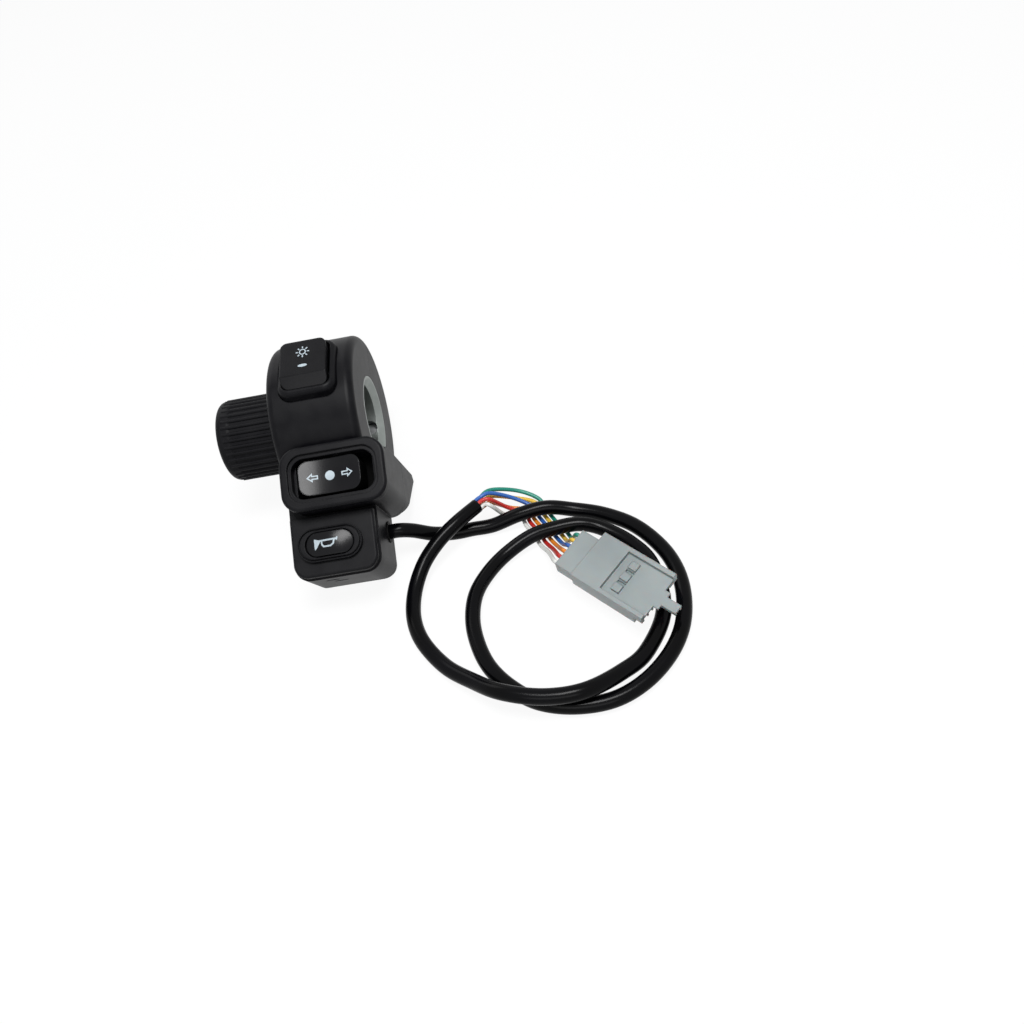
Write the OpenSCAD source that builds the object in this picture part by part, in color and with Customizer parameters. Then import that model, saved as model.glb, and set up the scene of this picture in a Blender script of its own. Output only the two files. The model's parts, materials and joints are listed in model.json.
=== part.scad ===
// Handlebar switch cluster: a drum on a metal liner for the bar, with a light rocker, a turn
// rocker, a horn button and a ribbed twist collar, and its cable, six leads and connector.
// The housing is drawn with the bar along X, the switch faces towards +Z and the light rocker
// towards +Y. It is then laid back on its drum and on the foot of its lower block.

/* [Bar and liner] */
// Diameter of the handlebar that the cluster sits on
bar_d = 22.2; // [21:0.1:23]
// Play between the bar and the liner, on the radius
bar_play = 0.1; // [0.05:0.01:0.25]
// Wall of the metal liner
liner_wall = 2.5; // [1.8:0.1:3]
// Diameter of the set screw that grips the bar
set_screw_d = 5; // [4:0.5:6]

/* [Drum] */
// Length of the drum along the bar
drum_len = 28; // [26:0.5:32]
// Outer radius of the drum
drum_r = 27.5; // [26.5:0.5:30]
// Rounding of the drum's two edges
drum_edge = 2.4; // [1:0.1:3]
// Wall of the plastic shells
wall = 2.2; // [1.6:0.1:2.6]
// Gap between a fixed piece and its seat
seat_gap = 0.1; // [0.05:0.01:0.15]
// Gap between pieces that move past each other
run_gap = 0.3; // [0.2:0.05:0.4]

/* [Twist collar] */
// Length of the collar outside the drum
collar_len = 22.5; // [14:0.5:30]
// Radius of the collar under its ribs
collar_r = 13.5; // [12.8:0.1:14.5]
// Radius of one rib
rib_r = 0.6; // [0.3:0.05:0.8]
// Number of ribs
rib_count = 38; // [24:1:44]
// Play between the bar and the collar, on the radius
collar_play = 0.25; // [0.15:0.05:0.4]
// Thickness of the flange that holds the collar in the drum
flange_t = 2.8; // [2:0.1:3.2]
// How far the flange stands out past the collar's neck
flange_lip = 2.5; // [1.8:0.1:3]
// Angle that the collar turns through
collar_throw = 60; // [30:5:80]

/* [Light rocker] */
// Angle of the light rocker round the drum, from the front face
light_angle = 22; // [20:0.5:26]
// Middle of the light rocker along the bar
light_x = 0; // [-2:0.25:0]
// Width of the light rocker along the bar
light_w = 14.6; // [12:0.2:14.6]
// Length of the light rocker round the drum
light_l = 16.6; // [14:0.2:17]
// Height of the light rocker's crease above the drum
light_rise = 4.6; // [3:0.2:6]
// Angle that the light rocker turns through
light_throw = 12; // [8:1:14]

/* [Turn rocker] */
// Middle of the turn bezel along the bar
turn_x = 4.75; // [4:0.25:6]
// Middle of the turn bezel below the bar
turn_y = -25.5; // [-26:0.25:-25]
// Width of the turn bezel
turn_w = 33; // [32:0.5:36]
// Height of the turn bezel
turn_h = 20.4; // [19.5:0.2:21]
// Front of the block under the turn bezel
turn_front = 24; // [23:0.5:26]
// Thickness of the turn bezel
bezel_t = 3.5; // [2.5:0.1:4.5]
// Width of the turn rocker
rocker_w = 19.4; // [17:0.2:20]
// Height of the turn rocker
rocker_h = 11; // [9:0.2:11.4]
// Angle that the turn rocker turns each way
turn_throw = 8; // [5:1:9]

/* [Horn block] */
// Left side of the horn block
low_left = -12.5; // [-13:0.25:-12.25]
// Right side of the horn block
low_right = 15; // [14.5:0.25:17]
// Bottom end of the horn block
low_bottom = -55.5; // [-58:0.5:-55]
// Front of the horn panel
low_front = 21; // [20:0.5:23]
// Rounding of the horn block's corners
low_corner = 5; // [3:0.5:6]
// Thickness of the horn panel
panel_t = 2.5; // [2:0.1:3]
// Middle of the horn button along the bar
horn_x = 0.3; // [0.1:0.1:1]
// Middle of the horn button below the bar
horn_y = -45.4; // [-46:0.1:-45]
// Width of the horn button
horn_w = 14.8; // [13:0.1:15.4]
// Height of the horn button
horn_h = 7.3; // [6.5:0.1:7.8]
// How far the horn button is pressed in
horn_travel = 2.2; // [1.2:0.1:2.6]

/* [Fasteners] */
// Diameter of the housing screws
screw_d = 3.5; // [2.5:0.1:4]
// Diameter of the rockers' pivot pins
pin_d = 2.4; // [1.6:0.1:2.6]

/* [Cable and connector] */
// Diameter of the cable's sheath
cable_d = 4.8; // [4.4:0.1:5]
// Diameter of one lead
wire_d = 1.4; // [1:0.05:1.5]
// Length of the connector's main block
con_l = 26; // [24:0.5:28]
// Width of the connector
con_w = 17.4; // [17:0.1:18.4]
// Thickness of the connector
con_h = 6; // [5.6:0.1:6.6]

/* [Hidden] */

$fn = 64;
far = 100;
black = [0.13, 0.13, 0.14];
gloss = [0.07, 0.07, 0.08];
steel = [0.72, 0.74, 0.75];
brass = [0.8, 0.66, 0.32];
nylon = [0.78, 0.81, 0.82];
buff = [0.6, 0.56, 0.48];

// Drum, liner and collar
drum_x0 = -drum_len / 2;
drum_x1 = drum_len / 2;
bore_r = bar_d / 2 + bar_play;
liner_r = bore_r + liner_wall;
collar_bore_r = bar_d / 2 + collar_play;
neck_wall = 1.5;
neck_r = collar_bore_r + neck_wall;
flange_r = neck_r + flange_lip;
wiper_t = 0.3;
wiper_gap = 0.2;
flange_x0 = drum_x0 + wall + wiper_t + wiper_gap;
flange_x1 = flange_x0 + flange_t;
liner_x0 = flange_x1 + run_gap;
collar_x0 = drum_x0 - run_gap - collar_len;
collar_x1 = drum_x0 - run_gap;
collar_edge = 2;
rib_root_r = collar_r - 0.3;
cavity_x0 = liner_x0 + wall;
cavity_x1 = drum_x1 - wall;
cavity_r0 = liner_r + seat_gap + wall;
cavity_r1 = drum_r - wall;
liner_lead = 2;
liner_lip = 0.7;
set_screw_x = drum_x1 - liner_lead - set_screw_d / 2 - 0.1;
detent_r = 1.2;
detent_len = 4;
track_t = 0.4;

// Turn block and its flare on the inboard side
turn_corner = 6;
block_inset = 0.5;
flare_x = turn_x + turn_w / 2 - block_inset;
flare_top = -12;
flare_low = turn_y + 8;
flare_face = [[flare_low - 2, turn_front], [flare_top, 6]];
flare_edge = 3;
slope_angle = 45;
low_back = -wall;
low_top = turn_y - turn_h / 2 - block_inset;
slope_end_y = low_top + 2;

// Horn block
foot_r = 3;
low_mid_x = (low_left + low_right) / 2;
low_w = low_right - low_left;
block_front = low_front - panel_t;
seam = 0.4;
panel_h = low_top + low_corner - low_bottom;
panel_mid_y = low_bottom + panel_h / 2;

// The housing lies on the drum and on the rounded foot of the horn block
foot_y = low_bottom + foot_r;
foot_z = low_back + foot_r;
lie_angle = atan2(foot_z, -foot_y) + asin((drum_r - foot_r) / norm([foot_y, foot_z]));

// Light rocker, seen in its own frame: Y round the drum, Z out from the bar axis
pin_r = pin_d / 2;
pin_fit = 0.05;
pin_seat = 0.02;
pin_grip = 2;
light_rim_side = 2;
light_rim_end = 2.5;
light_frame_w = light_w + 2 * light_rim_side;
light_frame_l = light_l + 2 * light_rim_end;
light_frame_corner = 4;
light_frame_edge = 1.8;
light_frame_rise = 1.4;
light_frame_top = drum_r + light_frame_rise;
light_side = 0.4;
light_end = 0.9;
light_pin_half = light_w / 2 + light_side + pin_grip;
light_arm = 5;
light_tilt = light_throw / 2;
seesaw_tilt = 0.8;
seesaw_t = 0.5;
tip_gap = 0.25;
rock_drop = seesaw_t / 2 + 0.3;
rock_r = 0.45;
ridge_r = rock_r - 0.05;
contact_gap = 0.2;
light_reach = 5;
light_contact_h = 0.6;
light_base_t = 0.8;
light_drop = light_arm * sin(light_tilt * seesaw_tilt);
light_stack = light_reach + tip_gap + seesaw_t + light_drop + contact_gap + light_contact_h + light_base_t;
light_depth = 4.5;
light_seat_depth = 2.6;
light_pivot = max(drum_r - light_depth, liner_r + 2 * seat_gap + light_stack);
light_seat = max(drum_r - light_seat_depth, light_pivot + pin_r + seat_gap);
light_edge = min(light_frame_edge, (light_frame_top - light_seat) / 2);
light_skirt = light_pivot - 2.2;
light_well = light_skirt - 1;
light_tip = light_pivot - light_reach;
light_seesaw_z = light_tip - tip_gap - seesaw_t / 2;
light_rock_z = light_seesaw_z - rock_drop;
light_contact_z = light_seesaw_z - seesaw_t / 2 - light_drop - contact_gap;
light_base_z = light_contact_z - light_contact_h;
light_deep_x0 = -4;
light_deep_x1 = light_w / 2;
light_deep_end = 2;
light_deep_l = 2 * (light_arm + light_deep_end);
plunger_r = 1.3;
plunger_fit = 0.1;

// Turn rocker
pocket_side = 3.2;
pocket_end = 0.9;
pocket_w = rocker_w + 2 * pocket_side;
pocket_h = rocker_h + 2 * pocket_end;
pocket_corner = 4;
turn_top = turn_front + bezel_t - 0.5;
turn_dish = 1;
turn_pivot = turn_front - 4;
turn_skirt = turn_pivot - 2.5;
turn_tip = turn_pivot - 8.5;
turn_arm = 7;
turn_seesaw_z = turn_tip - tip_gap - seesaw_t / 2;
turn_rock_z = turn_seesaw_z - rock_drop;
turn_drop = turn_arm * sin(turn_throw * seesaw_tilt);
turn_contact_z = turn_seesaw_z - seesaw_t / 2 - turn_drop - contact_gap;
turn_base_z = turn_contact_z - 1.8;
turn_base_t = 1.2;
rocker_shift = -1;
chamber_side = 2.3;
chamber_end = 0.8;
chamber_w = rocker_w + 2 * chamber_side;
chamber_h = rocker_h + 2 * chamber_end;
shield_t = 0.8;
shield_gap = 0.9;
ledge = 1;

// Cable exit, strain relief and clamp in the horn block
cable_r = cable_d / 2;
cable_fit = 0.05;
grommet_r = cable_r + 1;
grommet_lip = 0.7;
lip_r = grommet_r + grommet_lip;
exit_y = low_top - 5;
exit_z = lip_r + seat_gap;
cable_in_x = 3;
clamp_x = 7;
clamp_w = 5;
clamp_wall = 1.3;
clamp_screw_y = exit_y - 6;
clamp_screw_r = 1.2;
clamp_foot_t = 1.8;
lead_x = -3.5;

// Horn button
surround_w = horn_w + 5.5;
surround_h = horn_h + 3.3;
surround_rise = 1.2;
surround_neck = 0.7;
surround_groove = 0.4;
horn_flange = 0.9;
horn_flange_t = 1.2;
horn_flange_z = block_front - run_gap - horn_flange_t;
horn_top = low_front + 2;
horn_dome_r = 24;
bridge_t = 0.5;
bridge_z = horn_flange_z - bridge_t;
stem_r = 1.6;
stem_fit = 0.2;
horn_base_t = 1.2;
horn_base_z = exit_z + lip_r + run_gap;
horn_base_top = horn_base_z + horn_base_t;
horn_stem_end = horn_base_top - 0.2;
horn_post_z = bridge_z - horn_travel - contact_gap;
horn_post_x = 6;
guide_r = stem_r + stem_fit + 1;
guide_top = horn_post_z - 0.8;
horn_wire_d = 0.6;
horn_coil_r = guide_r + 0.3 + horn_wire_d / 2;
horn_room_x0 = low_left + wall;
horn_room_x1 = low_right - wall;
horn_room_y0 = low_bottom + wall;
horn_room_y1 = low_top - wall;

// Screws: one in the top of the drum, two in the wall between turn and horn rooms
screw_r = screw_d / 2;
screw_head_r = screw_r + 1.25;
screw_head_t = 1.8;
screw_wall_y = low_top + 0.5;
screw_spots = [[8, drum_r - 7, -8], [-8.5, screw_wall_y, low_back], [1, screw_wall_y, low_back]];
screw_depth = 7;

// Points on the table are in the frame of the finished part
rest_gap = 0.1;
function lie_point(p) = [p.x, p.y * cos(lie_angle) - p.z * sin(lie_angle),
  p.y * sin(lie_angle) + p.z * cos(lie_angle)];
cable_rest = cable_r - drum_r + rest_gap;
cable_start_x = [cable_in_x, low_right - 4, low_right, low_right + 3.5];
cable_start = [for (x = cable_start_x) lie_point([x, exit_y, exit_z])];
// Along and across the table, then the height above the cable's resting height
cable_spots = [[22.5, -37.6, 7], [28.5, -36.8, 2.8], [35, -35.8, 0.4], [41, -35.2, 0], [48, -35, 0],
  [57, -34, 2], [66, -33.2, 2.4], [75, -34.4, 0.5], [84.5, -38.2, 0.1], [93.4, -45, 0.1], [100, -55, 0.1],
  [103, -65, 0.1], [103, -75, 0.1], [100.4, -85, 0.1], [95, -93.6, 0.1], [87, -100.7, 0.1],
  [77.5, -104.8, 0.1], [66.5, -105, 0.1], [56.5, -102, 0.1], [49, -96, 0.1], [43.5, -88.6, 0.1],
  [40.4, -80, 0.1], [39.3, -71, 0.1], [40.7, -62, 0.1], [45, -54.5, 0.1], [51.4, -48, 0.2],
  [60, -43.6, 1.6], [68, -42.6, 2.5], [76, -42.6, 2.6], [83, -44.8, 1.2], [91, -51.6, 0.1], [96, -61.5, 0.1],
  [96.4, -78, 0.1], [89.2, -91, 0.2], [81, -97.8, 2.2], [70, -103.8, 5.6], [58.5, -104, 6],
  [47, -100.3, 5.6], [38.5, -93.4, 2.2], [30.4, -86, 0.2], [23.8, -76.5, 0.1], [21, -67.5, 0.1],
  [21.3, -57.8, 0.4], [24.6, -49, 2.4], [30, -42.8, 5], [36.5, -37.4, 6.6], [44, -31, 6.4]];
cable_route = concat(cable_start, [for (s = cable_spots) [s.x, s.y, cable_rest + s.z]]);
cable_end = cable_route[len(cable_route) - 1];
cable_heading = cable_end - cable_route[len(cable_route) - 2];

// The six leads leave the cable as a bundle and lie flat where they pass under it:
// the middle of the bundle, the step from lead to lead, and the rise of every other lead
wire_spine = [[48.5, -28, 7.5], [54.5, -27, 2.5], [60.5, -29.5, 1], [62.5, -34, 0.4],
  [65, -39, 0.4], [67, -43.5, 0.4], [69, -48.5, 2.5]];
wire_step = [[0, 1.4, 0], [1, 1.5, 0.5], [1.3, 1.2, 0.3], [1.5, 1, 0],
  [1.6, 0.6, 0], [1.8, 0.7, 0], [1.6, 1.1, -0.4]];
wire_rise = [1.6, 1.4, 0, 0, 0, 0, 0];
wire_up = [0, 1, -1, 1, -1, 0];
wire_side = [1, 0.5, 0.5, -0.5, -0.5, -1];
wire_rest = wire_d / 2 - drum_r + rest_gap;
wire_count = 6;
wire_ring_r = cable_r - wire_d / 2 - 0.05;

// Connector, which rests on the cable: its near bottom corner, then its turns about X, Y and Z
con_at = [71.2, -65.8, 5.6 + rest_gap - drum_r];
con_turn = [7.5, 2.5, -46];
con_near = 0.9;
con_far = 3.3;
con_back_l = 6.4;
con_back_wall = 0.4;
con_back_h = con_h - 1.2;
con_pitch = (con_w - con_near - con_far) / wire_count;
con_tunnel_y = con_pitch - 0.6;
con_tunnel_z = 2.2;
con_setback = 3;
con_lid = con_h / 2 - 0.2;
tongue_l = 6.6;
tongue_w = 6.2;
tongue_base_l = 1.8;
tongue_t = 1.6;
recess_x = 10;
recess_rim = 1.5;
recess_d = 1.2;
pad_x = 4;
pad_pitch = 4.2;
pad_l = 2.8;
pad_w = 2.6;
pad_h = 0.7;
pad_slot = 0.5;
blade_w = con_tunnel_y - 0.4;
blade_t = 0.8;

function turn_x_by(p, a) = [p.x, p.y * cos(a) - p.z * sin(a), p.y * sin(a) + p.z * cos(a)];
function turn_y_by(p, a) = [p.x * cos(a) + p.z * sin(a), p.y, -p.x * sin(a) + p.z * cos(a)];
function turn_z_by(p, a) = [p.x * cos(a) - p.y * sin(a), p.x * sin(a) + p.y * cos(a), p.z];
function con_point(p) =
  con_at + turn_z_by(turn_y_by(turn_x_by(p, con_turn.x), con_turn.y), con_turn.z);
function tunnel_y(column) = con_near + (column + 0.5) * con_pitch;

// Tubes that follow a route
function unit(v) = v / norm(v);
function heading(p, i) = unit(p[min(i + 1, len(p) - 1)] - p[max(i - 1, 0)]);
function ring(p, i, r, sides) =
  let (t = heading(p, i), s = unit(cross(t, [0, 0, 1])), u = cross(s, t))
  [for (k = [0:sides - 1]) p[i] + r * (cos(360 * k / sides) * s + sin(360 * k / sides) * u)];
function bend(a, b, c, d, t) = 0.5 * (2 * b + (c - a) * t + (2 * a - 5 * b + 4 * c - d) * t * t
  + (3 * b - a - 3 * c + d) * t * t * t);
function smooth(p, steps) = concat(
  [for (i = [0:len(p) - 2]) for (k = [0:steps - 1])
    bend(p[max(i - 1, 0)], p[i], p[i + 1], p[min(i + 2, len(p) - 1)], k / steps)],
  [p[len(p) - 1]]);
function least_gap(p, d, skip) = min([for (i = [0:len(p) - 1 - skip]) for (j = [i + skip:len(p) - 1])
  norm(p[i] - p[j])]) - d;

module tube(p, d, sides) {
  last = len(p) - 1;
  points = [for (i = [0:last]) each ring(p, i, d / 2, sides)];
  start = [for (k = [1:sides - 2]) [0, k + 1, k]];
  finish = [for (k = [1:sides - 2]) [last * sides, last * sides + k, last * sides + k + 1]];
  skin = [for (i = [0:last - 1]) for (k = [0:sides - 1])
    let (a = i * sides + k, b = i * sides + (k + 1) % sides)
    each [[a, b, b + sides], [a, b + sides, a + sides]]];
  polyhedron(points, concat(start, skin, finish), convexity = 8);
}

// A coil spring on +Z, from z0 to z1
module coil(radius, thick, z0, z1, curls) {
  rings = 8 * curls;
  end_gap = 0.05;
  low = z0 + end_gap + thick / 2;
  rise = z1 - z0 - thick - 2 * end_gap;
  tube([for (i = [0:rings]) [radius * cos(45 * i), radius * sin(45 * i), low + rise * i / rings]], thick, 6);
}

module lie() rotate([lie_angle, 0, 0]) children();
module at_light() rotate([-light_angle, 0, 0]) translate([light_x, 0, 0]) children();
module at_turn() translate([turn_x, turn_y, 0]) children();
module at_horn() translate([horn_x, horn_y, 0]) children();
module rod_x(x0, x1, r) translate([x0, 0, 0]) rotate([0, 90, 0]) cylinder(h = x1 - x0, r = r);
module rod_y(y0, y1, r) translate([0, y1, 0]) rotate([90, 0, 0]) cylinder(h = y1 - y0, r = r);
module rod_z(z0, z1, r) translate([0, 0, z0]) cylinder(h = z1 - z0, r = r);
module prism_x(x0, x1) translate([x0, 0, 0]) rotate([90, 0, 90]) linear_extrude(x1 - x0) children();
module prism_z(z0, z1) translate([0, 0, z0]) linear_extrude(z1 - z0) children();
module box(w, h, z0, z1) translate([-w / 2, -h / 2, z0]) cube([w, h, z1 - z0]);

module round_rect(w, h, r) {
  square([w - 2 * r, h], center = true);
  square([w, h - 2 * r], center = true);
  for (x = [-1, 1]) for (y = [-1, 1]) translate([x * (w / 2 - r), y * (h / 2 - r)]) circle(r);
}

module stadium(w, h) {
  square([w - h, h], center = true);
  for (x = [-1, 1]) translate([x * (w - h) / 2, 0]) circle(h / 2);
}

module edge_profile(r, t, e) {
  square([r, t - e]);
  square([r - e, t]);
  translate([r - e, t - e]) circle(e);
}

// A slab with round corners r and its upper edge rounded by e
module soft_slab(w, h, t, r, e) {
  linear_extrude(t) square([w - 2 * r, h - 2 * r], center = true);
  for (a = [0:90:270]) rotate(a) {
    out = a % 180 == 0 ? w / 2 - r : h / 2 - r;
    run = a % 180 == 0 ? h - 2 * r : w - 2 * r;
    translate([out, 0, 0]) rotate([90, 0, 0]) linear_extrude(run, center = true) edge_profile(r, t, e);
    translate([out, run / 2, 0]) rotate_extrude(angle = 90) edge_profile(r, t, e);
  }
}

// A round body along X with both edges rounded by e
module drum_solid(x0, x1, r, e) {
  l = x1 - x0;
  translate([x0, 0, 0]) rotate([0, 90, 0]) rotate_extrude() {
    square([r - e, l]);
    translate([0, e]) square([r, l - 2 * e]);
    for (z = [e, l - e]) translate([r - e, z]) circle(e);
  }
}

module turn_outline() {
  translate([turn_x, turn_y])
    round_rect(turn_w - 2 * block_inset, turn_h - 2 * block_inset, turn_corner - block_inset);
}

// The flare runs from the drum's inboard end to the block's side, and slopes back from the front
module flare() intersection() {
  prism_z(-drum_r, turn_front) polygon([[0, turn_y], [0, flare_top], [drum_x1, flare_top],
    [flare_x, flare_low], [flare_x, turn_y]]);
  prism_x(0, flare_x) polygon([[turn_y, turn_front], flare_face[0], flare_face[1],
    [flare_top, -drum_r], [turn_y, -drum_r]]);
}

module turn_body() intersection() {
  union() {
    prism_z(-drum_r, turn_front) turn_outline();
    flare();
  }
  union() {
    drum_solid(low_left, flare_x, drum_r, flare_edge);
    prism_x(low_left, flare_x) polygon([[0, 0], [0, turn_front], [low_top, turn_front], [low_top, low_back],
      [slope_end_y, low_back], [-drum_r * sin(slope_angle), -drum_r * cos(slope_angle)]]);
  }
}

module low_body() intersection() {
  low_h = turn_y - low_bottom;
  prism_z(low_back, block_front)
    translate([low_mid_x, low_bottom + low_h / 2]) round_rect(low_w, low_h, low_corner);
  prism_x(low_left, low_right) {
    translate([foot_y, low_back]) square(far);
    translate([low_bottom, foot_z]) square(far);
    translate([foot_y, foot_z]) circle(foot_r);
  }
}

module body_outer() {
  drum_solid(drum_x0, drum_x1, drum_r, drum_edge);
  turn_body();
  low_body();
}

// Bores for the liner, the collar's flange and its neck
module bar_bores() {
  rod_x(liner_x0, drum_x1 + 1, liner_r + seat_gap);
  rod_x(drum_x0 + wall, liner_x0, flange_r + run_gap);
  rod_x(drum_x0 - 1, drum_x0 + wall, neck_r + run_gap);
}

module light_rooms() at_light() {
  prism_z(light_seat, light_seat + far)
    round_rect(light_frame_w + 2 * seat_gap, light_frame_l + 2 * seat_gap, light_frame_corner);
  box(light_w + 2 * light_side, light_l + 2 * light_end, light_well, light_seat + 1);
  translate([light_deep_x0, -light_deep_l / 2, light_base_z - light_base_t])
    cube([light_deep_x1 - light_deep_x0, light_deep_l, light_well - light_base_z + light_base_t + 1]);
  translate([0, 0, light_pivot]) rod_x(-light_pin_half, light_pin_half, pin_r + pin_seat);
  translate([light_deep_x1 - 1, 0, light_tip - 1]) rod_x(0, cavity_x1 - light_x - light_deep_x1, 1.5);
}

// Passage for the light rocker's leads, round the front of the drum
module lead_gallery() {
  gallery_w = 2;
  rotate([-50, 0, 0]) translate([cavity_x1 - gallery_w, 0, 0]) rotate([0, 90, 0])
    rotate([0, 0, 180]) rotate_extrude(angle = 110)
      translate([cavity_r0, 0]) square([cavity_r1 - cavity_r0 - 2, gallery_w]);
}

module turn_rooms() at_turn() {
  prism_z(turn_front, turn_front + far)
    round_rect(turn_w + 2 * seat_gap, turn_h + 2 * seat_gap, turn_corner + seat_gap);
  box(chamber_w, chamber_h, turn_base_z, turn_front + 1);
  box(chamber_w + 2 * ledge, chamber_h + 2 * ledge, -1, turn_base_z);
  translate([0, 0, turn_pivot]) rod_y(-chamber_h / 2 - pin_grip, chamber_h / 2 + pin_grip, pin_r + pin_seat);
}

module horn_rooms() {
  translate([horn_room_x0, horn_room_y0, -1])
    cube([horn_room_x1 - horn_room_x0, horn_room_y1 - horn_room_y0, horn_base_top + 1]);
  translate([horn_room_x0 + ledge, horn_room_y0 + ledge, 0])
    cube([horn_room_x1 - horn_room_x0 - 2 * ledge, horn_room_y1 - horn_room_y0 - 2 * ledge, block_front + 1]);
  translate([0, exit_y, exit_z]) rod_x(horn_room_x1 - 1, low_right + 1, grommet_r + seat_gap);
  translate([cable_in_x - run_gap, exit_y, -1])
    cube([horn_room_x1 - cable_in_x + run_gap, lip_r + run_gap, horn_base_z + 1]);
  translate([lead_x, low_top, exit_z]) rod_y(-wall - 1, 4, 1.6);
}

// A rabbet round the horn panel, which shows as a fine dark seam
module panel_seam() difference() {
  translate([0, 0, block_front - seam]) linear_extrude(1)
    translate([low_mid_x, foot_y]) square([2 * low_w, far], center = true);
  translate([low_mid_x, panel_mid_y, 0])
    prism_z(0, far) round_rect(low_w - 2 * seam, panel_h - 2 * seam, low_corner - seam);
  translate([-far, low_top, 0]) cube([2 * far, far, far]);
}

module drain_slots() {
  slot_l = 4.2;
  slot_w = 0.9;
  slot_d = 1;
  for (s = [[-2, 14.5], [0, 11.5]])
    translate([s.x, low_bottom, s.y]) cube([slot_l, 2 * slot_d, slot_w], center = true);
}

module front_housing() color(black) lie() difference() {
  intersection() {
    body_outer();
    box(far * 2, far * 2, 0, far);
  }
  bar_bores();
  light_rooms();
  lead_gallery();
  turn_rooms();
  horn_rooms();
  panel_seam();
  drain_slots();
  for (s = screw_spots) translate([s.x, s.y, 0]) rod_z(-1, screw_depth, screw_r + pin_seat);
  track_arc(track_t);
}

module rear_cavity() difference() {
  union() {
    intersection() {
      rod_x(cavity_x0, cavity_x1, cavity_r1);
      box(far * 2, far * 2, -far, 1);
    }
    at_turn() intersection() {
      box(chamber_w + 2 * ledge, chamber_h + 2 * ledge, -far, 1);
      translate([-turn_x, -turn_y, 0]) prism_x(-far, far)
        polygon([[turn_y + turn_h, 1], [slope_end_y + 2 * wall, 1], [slope_end_y + 2 * wall, 0],
          [-cavity_r1 * sin(slope_angle), -cavity_r1 * cos(slope_angle)],
          [turn_y + turn_h, -cavity_r1 * cos(slope_angle)]]);
    }
  }
  rod_x(-far, far, cavity_r0);
  translate([screw_spots[0].x, screw_spots[0].y, 0]) rod_z(-far, far, screw_head_r + wall);
  translate([set_screw_x, 0, 0]) rod_z(-far, 0, set_screw_d / 2 + wall);
}

// Posts that press the two lower switch bases against their ledges
module base_posts() {
  post_r = 1.4;
  post_in = ledge + post_r;
  for (x = [-1, 1]) at_turn() translate([x * (chamber_w / 2 - post_r), 0, 0])
    rod_z(-far, turn_base_z - turn_base_t, post_r);
  post_x0 = horn_room_x0 + post_in;
  post_y0 = horn_room_y0 + post_in;
  for (p = [[post_x0, post_y0], [post_x0, horn_room_y1 - post_in], [horn_room_x1 - post_in, post_y0]])
    translate([p.x, p.y, 0]) rod_z(-far, horn_base_z, post_r);
}

module rear_housing() color(black) lie() difference() {
  union() {
    difference() {
      intersection() {
        body_outer();
        box(far * 2, far * 2, -far, 0);
      }
      rear_cavity();
    }
    intersection() {
      base_posts();
      body_outer();
    }
  }
  bar_bores();
  for (s = screw_spots) translate([s.x, s.y, 0]) {
    rod_z(-far, 1, screw_r + seat_gap);
    rod_z(-far, s.z, screw_head_r + seat_gap);
  }
  translate([set_screw_x, 0, 0]) rod_z(-far, 1 - liner_r, set_screw_d / 2 + seat_gap);
  translate([(flange_x0 + flange_x1) / 2, 0, 0])
    rod_z(-flange_r - run_gap - 2 * detent_len, -flange_r, detent_r + seat_gap);
  translate([clamp_x, clamp_screw_y, 0]) rod_z(-wall + 0.4, 1, clamp_screw_r + pin_seat);
}

module horn_panel() color(black) lie() difference() {
  translate([low_mid_x, panel_mid_y, block_front])
    soft_slab(low_w - 2 * block_inset, panel_h - 2 * block_inset, panel_t, low_corner - block_inset, 0.8);
  translate([-far, low_top - seat_gap, 0]) cube([2 * far, far, far]);
  at_horn() prism_z(block_front - 1, low_front + 1)
    stadium(surround_w - 2 * surround_neck + 2 * seat_gap, surround_h - 2 * surround_neck + 2 * seat_gap);
}

module horn_surround() color(black) lie() at_horn() difference() {
  union() {
    prism_z(block_front, low_front + 0.1)
      stadium(surround_w - 2 * surround_neck, surround_h - 2 * surround_neck);
    prism_z(low_front, low_front + surround_rise) stadium(surround_w, surround_h);
  }
  prism_z(block_front - 1, low_front + surround_rise + 1) stadium(horn_w + 2 * run_gap, horn_h + 2 * run_gap);
  prism_z(low_front + surround_rise - 0.6, low_front + surround_rise + 1) difference() {
    stadium(surround_w - 2 * surround_groove, surround_h - 2 * surround_groove);
    stadium(surround_w - 4 * surround_groove, surround_h - 4 * surround_groove);
  }
}

module turn_bezel() color(black) lie() at_turn() difference() {
  rim = 2.6;
  rim_drop = 0.9;
  translate([0, 0, turn_front]) soft_slab(turn_w, turn_h, bezel_t, turn_corner, 1);
  prism_z(turn_front - 1, turn_front + bezel_t + 1) round_rect(pocket_w, pocket_h, pocket_corner);
  prism_z(turn_front + bezel_t - rim_drop, turn_front + bezel_t + 1)
    round_rect(turn_w - 2 * rim, turn_h - 2 * rim, turn_corner - rim / 2);
}

module light_bezel() color(black) lie() at_light() difference() {
  translate([0, 0, light_seat])
    soft_slab(light_frame_w, light_frame_l, light_frame_top - light_seat,
      light_frame_corner, light_edge);
  prism_z(light_seat - 1, light_frame_top + 1)
    round_rect(light_w + 2 * light_side, light_l + 2 * light_end, 2.6);
}

module bar_liner() color(steel) lie() difference() {
  rod_x(liner_x0, drum_x1, liner_r);
  rod_x(liner_x0 - 1, drum_x1 + 1, bore_r);
  translate([drum_x1 - liner_lead, 0, 0]) rotate([0, 90, 0])
    cylinder(h = liner_lead, r1 = bore_r, r2 = liner_r - liner_lip);
  translate([set_screw_x, 0, 0]) rod_z(-far, 0, set_screw_d / 2);
}

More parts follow.
